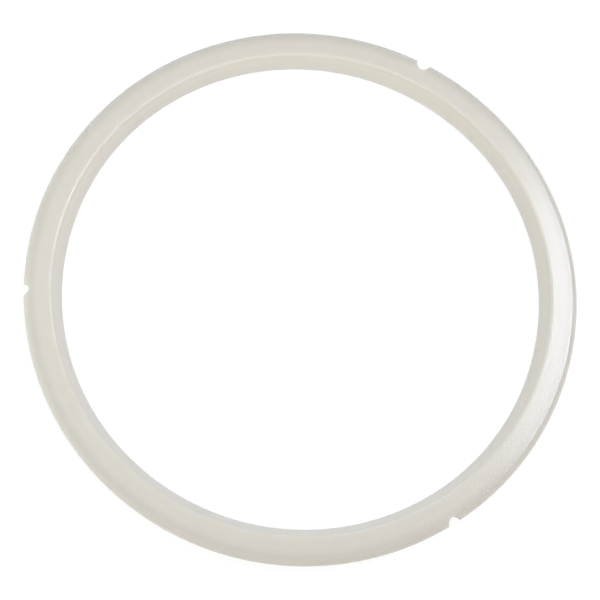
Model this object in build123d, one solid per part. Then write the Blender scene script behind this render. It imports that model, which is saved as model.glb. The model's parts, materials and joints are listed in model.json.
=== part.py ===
from build123d import *
import os

# Sealing ring of a stovetop pressure cooker: one silicone moulding, lid side up.
# The ring's axis is Z, and Z = 0 is the plane it lies on. Millimetres and degrees.

# Overall sizes
OUTER_DIAMETER = 240.0  # edge of the flange, which sits inside the rim of the lid
SECTION_WIDTH = 15.3  # flange's edge to the mouth inside the sealing lip
HEIGHT = 9.0  # foot of the leg to the lid face

# Outer flange, the leg under it, and the web that closes the channel under the lid face
FLANGE = 3.6  # thickness at its edge
RIM_ROUND = 3.0  # outer edge of the lid face
LEG = 2.6
WEB = 2.8
RIM_CHANNEL = 3.3  # width under the web, from the lip's root to the leg, for the pot's rim
FLANGE_GUSSET = 0.8  # sloped corner between the flange and the leg
WEB_GUSSET = 1.2  # sloped corner between the web and the leg
FOOT_BEVEL = 0.5  # both edges of the leg's foot

# Sealing lip, which leans in and down from the crest to the mouth
LIP_LEAN = 3.5  # radial distance from the crest's corner to the mouth
LIP_ROOT = 2.8  # radial thickness where the lip leaves the web
LIP_TIP = 1.5  # radial thickness at the lip's end
LIP_LIFT = 0.4  # lip's end above the leg's foot
LIP_LAND = 0.9  # height of the upright edge around the mouth
LIP_BEVEL = 0.3  # lower edge of that upright edge
CREST_ROUND = 1.2  # between the lid face and the lip
LIP_ROOT_ROUND = 1.2  # under the crest, where the lip bends

# Round notches through the flange
NOTCH_COUNT = 3
NOTCH_DIAMETER = 5.8
NOTCH_DEPTH = 3.2
NOTCH_FIRST_ANGLE = 60.0  # from +X to the first notch
CUT_OVERRUN = 1.0  # how far the notch cutters pass the lid face and the foot

SHARP = 0.0


def section_corners():
    """Corners of the ring's section as ((radius, height), rounding), from the foot round to the foot."""
    outer = OUTER_DIAMETER / 2
    mouth = outer - SECTION_WIDTH
    crest = mouth + LIP_LEAN
    flange_underside = HEIGHT - FLANGE
    web_underside = HEIGHT - WEB
    land_top = LIP_LIFT + LIP_LAND
    lip_face_at_web = mouth + LIP_LEAN * (web_underside - land_top) / (HEIGHT - land_top)
    lip_back_at_web = lip_face_at_web + LIP_ROOT
    leg_inside = lip_back_at_web + RIM_CHANNEL
    leg_outside = leg_inside + LEG
    return [
        ((leg_outside - FOOT_BEVEL, 0), SHARP),
        ((leg_outside, FOOT_BEVEL), SHARP),
        ((leg_outside, flange_underside - FLANGE_GUSSET), SHARP),
        ((leg_outside + FLANGE_GUSSET, flange_underside), SHARP),
        ((outer, flange_underside), SHARP),
        ((outer, HEIGHT), RIM_ROUND),
        ((crest, HEIGHT), CREST_ROUND),
        ((mouth, land_top), SHARP),
        ((mouth, LIP_LIFT + LIP_BEVEL), SHARP),
        ((mouth + LIP_BEVEL, LIP_LIFT), SHARP),
        ((mouth + LIP_TIP, LIP_LIFT), SHARP),
        ((lip_back_at_web, web_underside), LIP_ROOT_ROUND),
        ((leg_inside - WEB_GUSSET, web_underside), SHARP),
        ((leg_inside, web_underside - WEB_GUSSET), SHARP),
        ((leg_inside, FOOT_BEVEL), SHARP),
        ((leg_inside + FOOT_BEVEL, 0), SHARP),
    ]


def moulded_ring():
    """The section turned about the axis."""
    corners = section_corners()
    outline = FilletPolyline(
        [point for point, rounding in corners],
        radius=[rounding for point, rounding in corners],
        close=True,
    )
    return revolve(Plane.XZ * make_face(outline), Axis.Z)


def notch_cutters():
    """Upright cylinders, evenly spaced, that reach NOTCH_DEPTH into the flange."""
    axis_radius = OUTER_DIAMETER / 2 - NOTCH_DEPTH + NOTCH_DIAMETER / 2
    cutter = Cylinder(
        NOTCH_DIAMETER / 2,
        HEIGHT + 2 * CUT_OVERRUN,
        align=(Align.CENTER, Align.CENTER, Align.MIN),
    )
    places = PolarLocations(axis_radius, NOTCH_COUNT, start_angle=NOTCH_FIRST_ANGLE)
    return [place * Pos(0, 0, -CUT_OVERRUN) * cutter for place in places]


sealing_ring = moulded_ring() - notch_cutters()
sealing_ring.label = "sealing_ring"

os.makedirs("parts", exist_ok=True)
export_step(sealing_ring, "parts/sealing_ring.step")
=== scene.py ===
import json
import math

import bmesh
import bpy
from bpy.props import FloatProperty, FloatVectorProperty, PointerProperty
from mathutils import Matrix, Vector


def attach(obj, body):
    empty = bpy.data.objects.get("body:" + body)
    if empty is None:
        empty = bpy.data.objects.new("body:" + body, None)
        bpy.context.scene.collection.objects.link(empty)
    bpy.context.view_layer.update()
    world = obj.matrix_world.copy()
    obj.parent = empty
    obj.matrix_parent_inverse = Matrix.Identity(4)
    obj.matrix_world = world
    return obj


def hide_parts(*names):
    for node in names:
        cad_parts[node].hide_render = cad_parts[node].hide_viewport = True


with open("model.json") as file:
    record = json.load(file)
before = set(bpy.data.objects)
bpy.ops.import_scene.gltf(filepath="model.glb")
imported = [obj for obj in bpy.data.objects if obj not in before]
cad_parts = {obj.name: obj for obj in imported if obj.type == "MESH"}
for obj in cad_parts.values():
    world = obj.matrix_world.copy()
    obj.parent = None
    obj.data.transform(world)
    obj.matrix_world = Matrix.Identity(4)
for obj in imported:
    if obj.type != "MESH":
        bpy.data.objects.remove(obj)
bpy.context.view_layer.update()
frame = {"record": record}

bl_info = {
    "name": "Pressure cooker sealing ring",
    "version": (1, 0, 0),
    "blender": (4, 5, 0),
    "location": "View3D > Sidebar > Sealing Ring",
    "description": "Moulds a translucent silicone sealing ring and lays it on a pale studio floor",
    "category": "Object",
}

MM = 0.001

RING_NODE = "sealing_ring"
RING_BODY = "root"
RING_SLOT = "silicone"

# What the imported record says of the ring
MOUNTS = {mount["name"]: mount for mount in frame["record"]["mounts"]}
FINISHES = {finish["slot"]: finish for finish in frame["record"]["materials"]}
OUTER_RADIUS = MOUNTS["lid_seat"]["dims"]["r_mm"] * MM
MOUTH_RADIUS = MOUNTS["mouth"]["dims"]["r_mm"] * MM
RING_HEIGHT = MOUNTS["lid_face"]["pos_m"][2]
FACE_RADIUS = MOUNTS["lid_face"]["pos_m"][0]  # circle on the lid face where the section starts and ends
BODY_COLOUR = FINISHES[RING_SLOT]["base_color"]

# How finely the ring's surface is divided
ARC_STEP = math.radians(10)  # round a bend of the section
RUN_STEP = 0.8 * MM  # along a straight run of the section
UNDER_STEPS = 10  # out under the flange
EDGE_STEPS = 6  # up the flange's edge
RIM_STEPS = 24  # over the rim and in to the lid face
NOTCH_STEPS = 48  # round one notch
COLUMN_STEP = math.radians(1)  # round the ring, between two notches
GUARD_ANGLES = (math.radians(0.1), math.radians(0.4))  # more columns, close to a notch's mouth
SPLIT_FILLETS = 1.2  # from the leg to where the section's two paths meet, in flange fillets
BEVEL_SEGMENTS = 2
ROUND_PROFILE = 0.5

# How the free lip wanders in and out: waves round the ring, share of the slack, start in radians
LIP_WAVES = ((2, 0.34, 3.75), (3, 0.29, 1.94), (4, 0.24, 5.77), (6, 0.13, 5.55))

MOULDED, CUT = 0, 1  # the ring's two finishes, by material slot

# Clouding of the body, with scales in patches and spots to the metre
PATCH_SCALE = 38.0
PATCH_DETAIL = 3.0
PATCH_ROUGHNESS = 0.55
MOTTLE_SCALE = 320.0
MOTTLE_DETAIL = 2.0
MOTTLE_SHARE = 0.35  # of the mottle, and the rest is patches
CLOUD_LEVELS = (0.35, 0.65)  # noise at which the body is clear, and at which it is clouded
CLOUD_SHARE = 0.5  # of the cloud's colour where the body is clouded

# Grain, with scales in bumps to the metre, and how the gloss swells over it
MOULDED_GRAIN_SCALE = 1000.0
MOULDED_GRAIN_DEPTH = 0.04 * MM
NOTCH_GRAIN_SCALE = 2200.0
NOTCH_GRAIN_DEPTH = 0.008 * MM
GRAIN_DETAIL = 0.0
SWELL_SCALE = 220.0
SWELL_DETAIL = 1.0
SWELL_LEVELS = (0.3, 0.7)  # noise at which the face is glossiest, and at which it is dullest
SWELL_ROUGHNESS = 0.012  # how much is taken from the roughness or added to it

SILICONE_IOR = 1.5
SCATTER_SHARES = (1.0, 0.97, 0.92)  # of the scatter depth, for red, green and blue

# Stage
FLOOR_SEGMENTS = 96
FLOOR_GLOW = 1.05  # strength of the white that the floor is lifted to
WHITE = (1, 1, 1, 1)
DOWN = (0, 0, -1)
CLIP_START = 0.01  # nearest thing that the camera sees, in metres

# Sockets of the shader nodes
COLOUR_SOCKET = "NodeSocketColor"
VALUE_SOCKET = "NodeSocketFloat"
MIX_PLACES = {"FLOAT": (0, 2, 3, 0), "RGBA": (0, 6, 7, 2)}  # factor, both inputs and the result, by kind
WITHOUT_HEIGHT = (1, 1, 0)  # times a point, this leaves its place in plan


def length(name, description, default):
    """A size that a user would change, in metres."""
    return FloatProperty(
        name=name, description=description, default=default, min=0.0, unit="LENGTH", precision=5,
    )


def factor(name, description, default):
    """A share from 0 to 1."""
    return FloatProperty(
        name=name, description=description, default=default, min=0.0, max=1.0, subtype="FACTOR",
    )


def watts(name, description, default):
    """The power of a lamp."""
    return FloatProperty(name=name, description=description, default=default, min=0.0, subtype="POWER")


def colour(name, description, default):
    """A linear colour that a user would change."""
    return FloatVectorProperty(
        name=name, description=description, default=default, size=3, min=0.0, max=1.0, subtype="COLOR",
    )


def place(name, description, default):
    """A point in the ring's frame, in metres."""
    return FloatVectorProperty(
        name=name, description=description, default=default, size=3,
        subtype="XYZ", unit="LENGTH", precision=4,
    )


def per_notch(name, description, default, **shown):
    """A value for each of the three notches."""
    return FloatVectorProperty(name=name, description=description, default=default, size=3, **shown)


class SEALRING_PG_sizes(bpy.types.PropertyGroup):
    """Sizes of the ring's section and its notches"""

    outer_radius: length("Outer radius", "Edge of the flange, inside the rim of the lid", OUTER_RADIUS)
    mouth_radius: length("Mouth radius", "Opening inside the sealing lip", MOUTH_RADIUS)
    height: length("Height", "Foot of the leg to the lid face", RING_HEIGHT)
    flange: length("Flange", "Thickness of the outer flange at its edge", 3.6 * MM)
    flange_reach: length("Flange reach", "How far the flange stands out past the leg", 4.37 * MM)
    flange_round: length("Flange rounding", "Lower edge of the flange", 0.25 * MM)
    flange_fillet: length("Flange fillet", "Corner between the flange and the leg", 0.1 * MM)
    rim_round: length("Rim rounding", "Outer edge of the lid face", 3.0 * MM)
    leg: length("Leg", "Thickness of the leg under the flange", 2.6 * MM)
    web: length("Web", "Thickness over the channel for the pot's rim", 2.8 * MM)
    web_fillet: length("Web fillet", "Corner between the web and the leg, in the channel", 1.2 * MM)
    foot_round: length("Foot rounding", "Both edges of the leg's foot", 0.5 * MM)
    lip_lean: length("Lip lean", "Radial distance from the crest's corner to the mouth", 3.5 * MM)
    lip_root: length("Lip root", "Radial thickness where the lip leaves the web", 2.8 * MM)
    lip_tip: length("Lip tip", "Radial thickness at the lip's end", 1.5 * MM)
    lip_lift: length("Lip lift", "Lip's end above the foot", 0.4 * MM)
    lip_land: length("Lip land", "Height of the upright edge around the mouth", 0.9 * MM)
    lip_round: length("Lip rounding", "Edges at the lip's end", 0.3 * MM)
    crest_round: length("Crest rounding", "Bend between the lid face and the lip", 1.2 * MM)
    root_round: length("Root rounding", "Bend under the crest, in the channel", 1.2 * MM)
    lip_slack: length("Lip slack", "How far the free lip wanders in and out round the mouth", 0.45 * MM)
    notch_angles: per_notch(
        "Notch angles", "From +X to the middle of each notch",
        [math.radians(angle) for angle in (60.5, 180.3, 299.5)], subtype="EULER",
    )
    notch_widths: per_notch(
        "Notch widths", "Across the mouth of each punched notch",
        (6.5 * MM, 5.4 * MM, 5.5 * MM), unit="LENGTH", precision=5,
    )
    notch_depths: per_notch(
        "Notch depths", "How far each notch reaches into the flange",
        (4.2 * MM, 2.45 * MM, 2.75 * MM), unit="LENGTH", precision=5,
    )
    notch_flares: per_notch(
        "Notch flares", "Spread of each mouth: 1 is round, 2 opens out", (1.0, 1.2, 1.0),
    )
    notch_round: length("Notch edge", "Rounding of the notches' edges", 0.1 * MM)


class SEALRING_PG_finish(bpy.types.PropertyGroup):
    """Colours and gloss of the silicone, with painted shade and a painted glow"""

    body: colour("Body", "Milky body of the silicone", BODY_COLOUR)
    cloud: colour("Cloud", "Slightly warmer, denser patches in the body", (0.68, 0.645, 0.575))
    # Painted shade: the body darker from the leg out to the flange's edge, for less light through the thick
    # part
    outer_shade: colour("Dense", "Thick body from the leg out to the flange's edge", (0.58, 0.562, 0.515))
    # Painted glow: the thin lip lighter than the body, for light that comes through it
    lip: colour("Lip", "Body of the thin lip, which lets more light through", (0.725, 0.694, 0.628))
    # Painted shade on the crest, which dims the bright line of its reflection
    crest: colour("Crest", "Thick bend between the lip and the lid face", (0.672, 0.642, 0.586))
    # Painted shade: the notch faces darker than the body, for the shade inside the cuts
    cut: colour("Cut", "Faces of the punched notches", (0.42, 0.415, 0.375))
    gloss_roughness: factor("Roughness", "Satin gloss of the moulded faces", 0.18)
    cut_roughness: factor("Cut roughness", "Duller gloss inside the notches", 0.42)
    scatter: length("Scatter depth", "How far light travels inside the silicone", 5.0 * MM)


class SEALRING_PG_stage(bpy.types.PropertyGroup):
    """Floor, light and camera"""

    floor_radius: length("Floor radius", "Round floor under the ring", 3.0)
    floor: colour("Floor", "Pale floor", (0.93, 0.93, 0.93))
    floor_white: factor("Floor white", "Share of plain white in the floor that the camera sees", 0.85)
    softbox_place: place("Softbox", "Middle of the softbox, high on the right", (0.7, 0.28, 1.2))
    softbox_width: length("Softbox width", "Across the softbox", 0.6)
    softbox_length: length("Softbox length", "Along the softbox", 0.5)
    softbox_power: watts("Softbox power", "Light that the softbox gives", 9.7)
    softbox_colour: colour("Softbox colour", "Cool white, as from a window", (0.77, 0.845, 1.0))
    fill_place: place("Fill", "Middle of the soft fill, low on the left", (-0.42, -0.05, 0.22))
    fill_width: length("Fill width", "Side of the square fill", 0.3)
    fill_power: watts("Fill power", "Light that the fill gives", 0.74)
    fill_colour: colour("Fill colour", "Slightly cool white", (0.84, 0.95, 1.0))
    back_light: colour("Back light", "Surroundings on the +Y side", (0.36, 0.36, 0.36))
    front_light: colour("Front light", "Brighter, warmer surroundings on the -Y side", (0.93, 0.865, 0.765))
    camera_place: place("Camera", "Where the camera stands", (-0.0409, -0.1537, 0.5296))
    camera_target: place("Target", "Point at the middle of the picture", (-0.0021, -0.0078, 0.009))
    camera_up: FloatVectorProperty(
        name="Camera up", description="Direction that is upright in the picture",
        default=(0.0349, 0.9994, 0.0), size=3, subtype="XYZ", precision=4,
    )
    focal_length: FloatProperty(
        name="Focal length", description="Millimetres on a 36 mm sensor", default=75.66, min=1.0,
    )


def rounded_path(corners):
    """Points (radius, height) along an open path of (corner, rounding) pairs, with arcs for roundings."""
    points = [Vector(corners[0][0])]
    for (before, _), (corner, rounding), (after, _) in zip(corners, corners[1:], corners[2:]):
        to_before = (Vector(before) - Vector(corner)).normalized()
        to_after = (Vector(after) - Vector(corner)).normalized()
        half_angle = to_before.angle(to_after) / 2
        centre = Vector(corner) + (to_before + to_after).normalized() * rounding / math.sin(half_angle)
        start = Vector(corner) + to_before * rounding / math.tan(half_angle)
        sweep = math.copysign(math.pi - 2 * half_angle, -to_before.cross(to_after))
        steps = max(1, math.ceil(abs(sweep) / ARC_STEP))
        turns = [Matrix.Rotation(sweep * i / steps, 2) for i in range(1, steps + 1)]
        run_to(points, start)
        points += [centre + turn @ (start - centre) for turn in turns]
    run_to(points, Vector(corners[-1][0]))
    return points


def run_to(points, end):
    """Carry a path straight on to a point, in short steps."""
    start = points[-1].copy()
    steps = max(1, math.ceil((end - start).length / RUN_STEP))
    points += [start.lerp(end, i / steps) for i in range(1, steps + 1)]


def inner_path(sizes):
    """Section from the lid face over the crest, down the lip, through the channel and round the leg."""
    leg_outside = sizes.outer_radius - sizes.flange_reach
    leg_inside = leg_outside - sizes.leg
    flange_underside = sizes.height - sizes.flange
    web_underside = sizes.height - sizes.web
    land_top = sizes.lip_lift + sizes.lip_land
    crest = sizes.mouth_radius + sizes.lip_lean
    lip_share = (web_underside - land_top) / (sizes.height - land_top)
    lip_underside = sizes.mouth_radius + sizes.lip_lean * lip_share + sizes.lip_root
    return rounded_path([
        ((FACE_RADIUS, sizes.height), 0),
        ((crest, sizes.height), sizes.crest_round),
        ((sizes.mouth_radius, land_top), sizes.lip_round),
        ((sizes.mouth_radius, sizes.lip_lift), sizes.lip_round),
        ((sizes.mouth_radius + sizes.lip_tip, sizes.lip_lift), sizes.lip_round),
        ((lip_underside, web_underside), sizes.root_round),
        ((leg_inside, web_underside), sizes.web_fillet),
        ((leg_inside, 0), sizes.foot_round),
        ((leg_outside, 0), sizes.foot_round),
        ((leg_outside, flange_underside), sizes.flange_fillet),
        ((flange_split(sizes), flange_underside), 0),
    ])


def flange_split(sizes):
    """Radius under the flange, just past the leg, where the inner path hands over to the outer one."""
    return sizes.outer_radius - sizes.flange_reach + SPLIT_FILLETS * sizes.flange_fillet


def edge_distance(radius, outer, rounding):
    """How far a radius lies from an upright edge, measured round its rounding and in along the face."""
    past_round = radius - (outer - rounding)
    if past_round > 0:
        return rounding * math.acos(min(1, past_round / rounding))
    return rounding * math.pi / 2 - past_round


def edge_point(distance, outer, rounding):
    """(radius, depth from the face) of the point that lies so far from the upright edge."""
    quarter = rounding * math.pi / 2
    if distance > quarter:
        return outer - rounding - (distance - quarter), 0.0
    turn = distance / rounding
    return outer - rounding + rounding * math.cos(turn), rounding - rounding * math.sin(turn)


def edge_run(from_radius, to_radius, outer, rounding, steps):
    """Evenly spaced (radius, depth) points along a rounded edge between two radii."""
    start = edge_distance(from_radius, outer, rounding)
    end = edge_distance(to_radius, outer, rounding)
    return [edge_point(start + (end - start) * i / steps, outer, rounding) for i in range(steps + 1)]


def outer_path(sizes, edge_radius):
    """Section out under the flange, up its edge at edge_radius, over the rim and in to the lid face."""
    underside = sizes.height - sizes.flange
    under = edge_run(flange_split(sizes), edge_radius, sizes.outer_radius, sizes.flange_round, UNDER_STEPS)
    under = [Vector((radius, underside + depth)) for radius, depth in under]
    rim = edge_run(edge_radius, FACE_RADIUS, sizes.outer_radius, sizes.rim_round, RIM_STEPS)
    rim = [Vector((radius, sizes.height - depth)) for radius, depth in rim]
    edge = [under[-1].lerp(rim[0], i / EDGE_STEPS) for i in range(1, EDGE_STEPS)]
    return under[1:] + edge + rim[:-1]


def notch_columns(sizes, middle, width, depth, flare):
    """(angle, edge radius) at even steps round one notch, from mouth corner to mouth corner."""
    columns = []
    for i in range(NOTCH_STEPS + 1):
        turn = math.pi * (i / NOTCH_STEPS - 0.5)
        across = width / 2 * math.sin(turn)
        reach = depth * max(0, math.cos(turn)) ** flare
        columns.append((middle + across / sizes.outer_radius, sizes.outer_radius - reach))
    return columns


def plain_columns(sizes, start, end):
    """(angle, edge radius) between two notches, closer together near their mouths."""
    steps = math.ceil((end - start) / COLUMN_STEP)
    even = [start + (end - start) * i / steps for i in range(1, steps)]
    guards = [start + guard for guard in GUARD_ANGLES] + [end - guard for guard in GUARD_ANGLES]
    return [(angle, sizes.outer_radius) for angle in sorted(even + guards)]


def ring_columns(sizes):
    """All the ring's columns in order, and the index pairs at which each notch starts and ends."""
    cuts = zip(sizes.notch_angles, sizes.notch_widths, sizes.notch_depths, sizes.notch_flares)
    notches = [notch_columns(sizes, *cut) for cut in cuts]
    columns, spans = [], []
    for i, notch in enumerate(notches):
        spans.append((len(columns), len(columns) + len(notch) - 1))
        columns += notch
        next_start = notches[(i + 1) % len(notches)][0][0]
        if i + 1 == len(notches):
            next_start += 2 * math.pi
        columns += plain_columns(sizes, notch[-1][0], next_start)
    return columns, spans


def settled(sizes, point, angle):
    """A moulded point with the slack of the free lip, which wanders a little round the mouth."""
    crest = sizes.mouth_radius + sizes.lip_lean
    freedom = min(1, max(0, (crest - point.x) / sizes.lip_lean))
    wave = sum(share * math.sin(waves * angle + start) for waves, share, start in LIP_WAVES)
    return point + Vector((sizes.lip_slack * freedom * wave, 0))


def ring_mesh(sizes):
    """The whole moulding as one closed skin, with the notches' edges rounded."""
    bm = bmesh.new()
    columns, spans = ring_columns(sizes)
    notched = {i for first, last in spans for i in range(first, last + 1)}
    inside = inner_path(sizes)
    grid = []
    for angle, edge_radius in columns:
        path = inside + outer_path(sizes, edge_radius)
        across, along = math.cos(angle), math.sin(angle)
        points = [settled(sizes, point, angle) for point in path]
        grid.append([bm.verts.new((point.x * across, point.x * along, point.y)) for point in points])
    edge_foot = len(inside) + UNDER_STEPS - 1
    edge_top = len(grid[0]) - RIM_STEPS
    for i, column in enumerate(grid):
        following = grid[(i + 1) % len(grid)]
        in_notch = i in notched and i + 1 in notched
        for j, corner in enumerate(column):
            k = (j + 1) % len(column)
            face = bm.faces.new((corner, following[j], following[k], column[k]))
            face.smooth = True
            face.material_index = CUT if in_notch and edge_foot <= j < edge_top else MOULDED
    bmesh.ops.recalc_face_normals(bm, faces=bm.faces)
    round_notch_edges(bm, sizes, grid, spans, edge_foot, edge_top)
    mesh = bpy.data.meshes.new(RING_NODE)
    bm.to_mesh(mesh)
    bm.free()
    return mesh


def round_notch_edges(bm, sizes, grid, spans, edge_foot, edge_top):
    """Round the notches' mouths, and the edges where they leave the lid face and the flange's underside."""
    edges = set()
    for first, last in spans:
        for i in range(first, last):
            edges.update(bm.edges.get((grid[i][j], grid[i + 1][j])) for j in (edge_foot, edge_top))
        for i in (first, last):
            edges.update(bm.edges.get((grid[i][j], grid[i][j + 1])) for j in range(edge_foot, edge_top))
    bmesh.ops.bevel(
        bm, geom=list(edges), offset=sizes.notch_round, offset_type="OFFSET", affect="EDGES",
        segments=BEVEL_SEGMENTS, profile=ROUND_PROFILE, clamp_overlap=True, material=-1,
    )


def add_node(tree, kind, sockets=None, **settings):
    """Add a node, set its sockets by name or place, and link those that are given another node's output."""
    node = tree.nodes.new(kind)
    for name, value in settings.items():
        setattr(node, name, value)
    for key, value in (sockets or {}).items():
        if isinstance(value, bpy.types.NodeSocket):
            tree.links.new(value, node.inputs[key])
        else:
            node.inputs[key].default_value = value
    return node


def noise(tree, coords, scale, detail, roughness=0.5):
    """Soft noise, mostly between 0.3 and 0.7."""
    sockets = {"Vector": coords, "Scale": scale, "Detail": detail, "Roughness": roughness}
    return add_node(tree, "ShaderNodeTexNoise", sockets).outputs["Fac"]


def ramp(tree, value, low, high, at_low=0.0, at_high=1.0, easing="LINEAR"):
    """A value that goes from at_low to at_high as another goes from low to high, and stays there beyond."""
    sockets = {"Value": value, "From Min": low, "From Max": high, "To Min": at_low, "To Max": at_high}
    return add_node(tree, "ShaderNodeMapRange", sockets, interpolation_type=easing).outputs["Result"]


def maths(tree, operation, *values):
    """What one sum gives for the values."""
    return add_node(tree, "ShaderNodeMath", dict(enumerate(values)), operation=operation).outputs["Value"]


def mix(tree, share, first, second, kind="RGBA"):
    """A colour or a value that goes from first to second as share goes from 0 to 1."""
    share_place, first_place, second_place, result_place = MIX_PLACES[kind]
    sockets = {share_place: share, first_place: first, second_place: second}
    return add_node(tree, "ShaderNodeMix", sockets, data_type=kind).outputs[result_place]


def new_group(name, inputs, outputs):
    """A shader node group with its sockets made, given as {name: kind}."""
    group = bpy.data.node_groups.new(name, "ShaderNodeTree")
    for label, kind in inputs.items():
        group.interface.new_socket(label, in_out="INPUT", socket_type=kind)
    for label, kind in outputs.items():
        group.interface.new_socket(label, in_out="OUTPUT", socket_type=kind)
    return group


def clouding_and_painted_light_group():
    """Tones of the moulded body, with light and shade painted on it.

    Patches a few centimetres long, with a finer mottle in them, cloud the body. Painted shade darkens it
    from the leg out to the rim, a painted glow lightens the thin lip, and painted shade dims the crest.
    """
    group = new_group(
        "Silicone clouding",
        {
            "Body": COLOUR_SOCKET,
            "Cloud": COLOUR_SOCKET,
            "Dense": COLOUR_SOCKET,
            "Lip": COLOUR_SOCKET,
            "Crest": COLOUR_SOCKET,
            "Share": VALUE_SOCKET,
            "Leg Radius": VALUE_SOCKET,
            "Rim Radius": VALUE_SOCKET,
            "Crest Radius": VALUE_SOCKET,
            "Crest Width": VALUE_SOCKET,
        },
        {"Color": COLOUR_SOCKET},
    )
    given = add_node(group, "NodeGroupInput").outputs
    coords = add_node(group, "ShaderNodeTexCoord").outputs["Object"]
    in_plan = add_node(group, "ShaderNodeVectorMath", {0: coords, 1: WITHOUT_HEIGHT}, operation="MULTIPLY")
    from_axis = add_node(group, "ShaderNodeVectorMath", {0: in_plan.outputs["Vector"]}, operation="LENGTH")
    radius = from_axis.outputs["Value"]

    patches = noise(group, coords, PATCH_SCALE, PATCH_DETAIL, PATCH_ROUGHNESS)
    mottle = noise(group, coords, MOTTLE_SCALE, MOTTLE_DETAIL)
    both = mix(group, MOTTLE_SHARE, patches, mottle, "FLOAT")
    clouded = ramp(group, both, *CLOUD_LEVELS, at_high=given["Share"])
    tone = mix(group, clouded, given["Body"], given["Cloud"])

    # Painted shade, growing from the leg out to the rim
    outer_shade_mask = ramp(group, radius, given["Leg Radius"], given["Rim Radius"], easing="SMOOTHSTEP")
    tone = mix(group, outer_shade_mask, tone, given["Dense"])

    # Painted glow: the thin lip lighter, for light that comes through it
    lip_root = maths(group, "SUBTRACT", given["Crest Radius"], given["Crest Width"])
    lip_glow_mask = ramp(group, radius, lip_root, given["Crest Radius"], 1.0, 0.0, "SMOOTHSTEP")
    tone = mix(group, lip_glow_mask, tone, given["Lip"])

    # Painted shade on the crest, which dims the bright line of its reflection
    past_crest = maths(group, "SUBTRACT", radius, given["Crest Radius"])
    from_crest = maths(group, "ABSOLUTE", past_crest)
    crest_shade_mask = ramp(group, from_crest, 0.0, given["Crest Width"], 1.0, 0.0, "SMOOTHSTEP")
    tone = mix(group, crest_shade_mask, tone, given["Crest"])

    add_node(group, "NodeGroupOutput", {"Color": tone})
    return group


def grain_group():
    """Fine grain of a silicone face: a height for bump, and a roughness that swells up and down."""
    group = new_group(
        "Silicone grain",
        {"Grain Scale": VALUE_SOCKET, "Roughness": VALUE_SOCKET, "Swell": VALUE_SOCKET},
        {"Height": VALUE_SOCKET, "Roughness": VALUE_SOCKET},
    )
    given = add_node(group, "NodeGroupInput").outputs
    coords = add_node(group, "ShaderNodeTexCoord").outputs["Object"]
    grain = noise(group, coords, given["Grain Scale"], GRAIN_DETAIL)
    swell = noise(group, coords, SWELL_SCALE, SWELL_DETAIL)
    up_or_down = ramp(group, swell, *SWELL_LEVELS, -1.0, 1.0)
    rough = maths(group, "MULTIPLY_ADD", up_or_down, given["Swell"], given["Roughness"])
    add_node(group, "NodeGroupOutput", {"Height": grain, "Roughness": rough})
    return group


def silicone(name, finish, grain_nodes, grain_scale, grain_depth, roughness):
    """Translucent silicone with a fine grain, still without its colour."""
    material = bpy.data.materials.new(name)
    material.use_nodes = True
    tree = material.node_tree
    shader = tree.nodes["Principled BSDF"]
    grain = add_node(tree, "ShaderNodeGroup", {
        "Grain Scale": grain_scale, "Roughness": roughness, "Swell": SWELL_ROUGHNESS,
    }, node_tree=grain_nodes)
    bump = add_node(tree, "ShaderNodeBump", {
        "Strength": 1.0, "Distance": grain_depth, "Height": grain.outputs["Height"],
    })
    tree.links.new(grain.outputs["Roughness"], shader.inputs["Roughness"])
    tree.links.new(bump.outputs["Normal"], shader.inputs["Normal"])
    shader.inputs["IOR"].default_value = SILICONE_IOR
    shader.inputs["Subsurface Weight"].default_value = 1.0
    shader.inputs["Subsurface Radius"].default_value = SCATTER_SHARES
    shader.inputs["Subsurface Scale"].default_value = finish.scatter
    return material


def moulded_silicone(sizes, finish, grain_nodes):
    """Satin faces as they leave the mould, with the clouding of the body and its painted shade and glow."""
    material = silicone(
        "silicone_moulded", finish, grain_nodes,
        MOULDED_GRAIN_SCALE, MOULDED_GRAIN_DEPTH, finish.gloss_roughness,
    )
    tree = material.node_tree
    # Clouding of the body, with painted shade from the leg out, a painted glow on the lip and painted shade
    # on the crest
    clouding = add_node(tree, "ShaderNodeGroup", {
        "Body": (*finish.body, 1),
        "Cloud": (*finish.cloud, 1),
        "Dense": (*finish.outer_shade, 1),
        "Lip": (*finish.lip, 1),
        "Crest": (*finish.crest, 1),
        "Share": CLOUD_SHARE,
        "Leg Radius": sizes.outer_radius - sizes.flange_reach - sizes.leg,
        "Rim Radius": sizes.outer_radius - sizes.rim_round / 2,
        "Crest Radius": sizes.mouth_radius + sizes.lip_lean,
        "Crest Width": sizes.crest_round,
    }, node_tree=clouding_and_painted_light_group())
    tree.links.new(clouding.outputs["Color"], tree.nodes["Principled BSDF"].inputs["Base Color"])
    return material


def notch_silicone(finish, grain_nodes):
    """Duller faces where the notches were punched out, darkened with painted shade."""
    material = silicone(
        "silicone_notch", finish, grain_nodes,
        NOTCH_GRAIN_SCALE, NOTCH_GRAIN_DEPTH, finish.cut_roughness,
    )
    shader = material.node_tree.nodes["Principled BSDF"]
    # Painted shade: the notch faces darker than the body, for the shade inside the cuts
    shader.inputs["Base Color"].default_value = (*finish.cut, 1)
    return material


class SEALRING_OT_mould_ring(bpy.types.Operator):
    """Mould the sealing ring in satin silicone"""

    bl_idname = "sealring.mould_ring"
    bl_label = "Mould Ring"

    def execute(self, context):
        sizes = context.scene.sealring_sizes
        finish = context.scene.sealring_finish
        grain_nodes = grain_group()
        mesh = ring_mesh(sizes)
        mesh.materials.append(moulded_silicone(sizes, finish, grain_nodes))
        mesh.materials.append(notch_silicone(finish, grain_nodes))
        ring = bpy.data.objects.new("silicone_ring", mesh)
        context.scene.collection.objects.link(ring)
        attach(ring, RING_BODY)
        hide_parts(RING_NODE)
        return {"FINISHED"}


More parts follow.
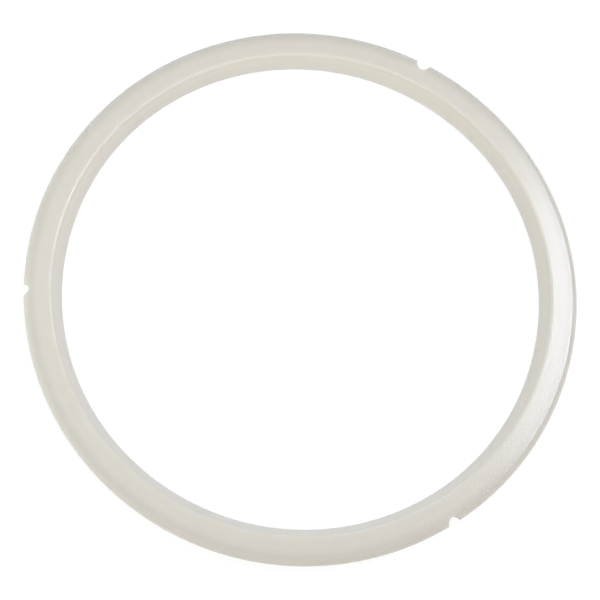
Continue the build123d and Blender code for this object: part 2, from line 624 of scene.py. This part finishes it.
def seen(tree):
    """1 on camera, glossy and transmission rays, which see a surface, and 0 where its light only falls."""
    path = add_node(tree, "ShaderNodeLightPath").outputs
    on_view = maths(tree, "MAXIMUM", path["Is Camera Ray"], path["Is Glossy Ray"])
    return maths(tree, "MAXIMUM", on_view, path["Is Transmission Ray"])


def floor_material(stage):
    """Pale matt floor that takes the ring's shadow, lifted towards white on the rays that see it."""
    material = bpy.data.materials.new("pale_floor")
    material.use_nodes = True
    tree = material.node_tree
    tree.nodes.remove(tree.nodes["Principled BSDF"])
    matt = add_node(tree, "ShaderNodeBsdfDiffuse", {"Color": (*stage.floor, 1)})
    white = add_node(tree, "ShaderNodeEmission", {"Color": WHITE, "Strength": FLOOR_GLOW})
    lift = maths(tree, "MULTIPLY", seen(tree), stage.floor_white)
    lifted = add_node(tree, "ShaderNodeMixShader", {0: lift, 1: matt.outputs[0], 2: white.outputs[0]})
    tree.links.new(lifted.outputs[0], tree.nodes["Material Output"].inputs["Surface"])
    return material


def lay_floor(scene, stage):
    """Round floor under the ring's foot."""
    bm = bmesh.new()
    bmesh.ops.create_circle(bm, cap_ends=True, segments=FLOOR_SEGMENTS, radius=stage.floor_radius)
    mesh = bpy.data.meshes.new("floor")
    bm.to_mesh(mesh)
    bm.free()
    mesh.materials.append(floor_material(stage))
    floor = bpy.data.objects.new("floor", mesh)
    scene.collection.objects.link(floor)


def light_world(scene, stage):
    """Surroundings that look white, and light the ring with front_light from -Y to back_light from +Y."""
    world = bpy.data.worlds.new("white_studio")
    world.use_nodes = True
    tree = world.node_tree
    direction = add_node(tree, "ShaderNodeTexCoord").outputs["Generated"]
    along = add_node(tree, "ShaderNodeSeparateXYZ", {0: direction}).outputs
    to_back = ramp(tree, along["Y"], -1.0, 1.0)
    shed = mix(tree, to_back, (*stage.front_light, 1), (*stage.back_light, 1))
    shown = mix(tree, seen(tree), shed, WHITE)
    tree.links.new(shown, tree.nodes["Background"].inputs["Color"])
    scene.world = world


def hang_softbox(scene, name, middle, size, power, shade, aim):
    """A rectangular softbox that faces along aim."""
    lamp = bpy.data.lights.new(name, "AREA")
    lamp.shape = "RECTANGLE"
    lamp.size, lamp.size_y = size
    lamp.energy = power
    lamp.color = shade
    softbox = bpy.data.objects.new(name, lamp)
    softbox.location = middle
    softbox.rotation_euler = Vector(aim).to_track_quat("-Z", "Y").to_euler()
    scene.collection.objects.link(softbox)
    return softbox


def light_ring(scene, stage):
    """A softbox high on the right, whose reflection shows in the lid face, and a weak fill on the left."""
    hang_softbox(
        scene, "softbox", stage.softbox_place, (stage.softbox_width, stage.softbox_length),
        stage.softbox_power, stage.softbox_colour, DOWN,
    )
    fill = hang_softbox(
        scene, "fill", stage.fill_place, (stage.fill_width, stage.fill_width),
        stage.fill_power, stage.fill_colour, -Vector(stage.fill_place),
    )
    fill.visible_glossy = False


def set_camera(scene, stage):
    """Camera over the ring, turned so that camera_up is upright in the picture."""
    lens = bpy.data.cameras.new("camera")
    lens.lens = stage.focal_length
    lens.clip_start = CLIP_START
    back = (Vector(stage.camera_place) - Vector(stage.camera_target)).normalized()
    right = Vector(stage.camera_up).cross(back).normalized()
    turn = Matrix((right, back.cross(right), back)).transposed()
    camera = bpy.data.objects.new("camera", lens)
    camera.matrix_world = Matrix.Translation(stage.camera_place) @ turn.to_4x4()
    scene.collection.objects.link(camera)
    scene.camera = camera


class SEALRING_OT_lay_stage(bpy.types.Operator):
    """Lay the floor and set up the light and the camera"""

    bl_idname = "sealring.lay_stage"
    bl_label = "Lay Stage"

    def execute(self, context):
        scene = context.scene
        stage = scene.sealring_stage
        lay_floor(scene, stage)
        light_world(scene, stage)
        light_ring(scene, stage)
        set_camera(scene, stage)
        scene.view_settings.view_transform = "Standard"
        return {"FINISHED"}


class SEALRING_PT_panel(bpy.types.Panel):
    """Sizes, finish and stage of the sealing ring"""

    bl_idname = "SEALRING_PT_panel"
    bl_label = "Sealing Ring"
    bl_space_type = "VIEW_3D"
    bl_region_type = "UI"
    bl_category = "Sealing Ring"

    def draw(self, context):
        scene = context.scene
        for settings in (scene.sealring_sizes, scene.sealring_finish, scene.sealring_stage):
            column = self.layout.column()
            for name in settings.__annotations__:
                column.prop(settings, name)
        self.layout.operator(SEALRING_OT_mould_ring.bl_idname)
        self.layout.operator(SEALRING_OT_lay_stage.bl_idname)


CLASSES = (
    SEALRING_PG_sizes,
    SEALRING_PG_finish,
    SEALRING_PG_stage,
    SEALRING_OT_mould_ring,
    SEALRING_OT_lay_stage,
    SEALRING_PT_panel,
)


def register():
    for made in CLASSES:
        bpy.utils.register_class(made)
    bpy.types.Scene.sealring_sizes = PointerProperty(type=SEALRING_PG_sizes)
    bpy.types.Scene.sealring_finish = PointerProperty(type=SEALRING_PG_finish)
    bpy.types.Scene.sealring_stage = PointerProperty(type=SEALRING_PG_stage)


def unregister():
    del bpy.types.Scene.sealring_stage
    del bpy.types.Scene.sealring_finish
    del bpy.types.Scene.sealring_sizes
    for made in reversed(CLASSES):
        bpy.utils.unregister_class(made)


def main():
    register()
    bpy.ops.sealring.mould_ring()
    bpy.ops.sealring.lay_stage()


if __name__ == "__main__":
    main()
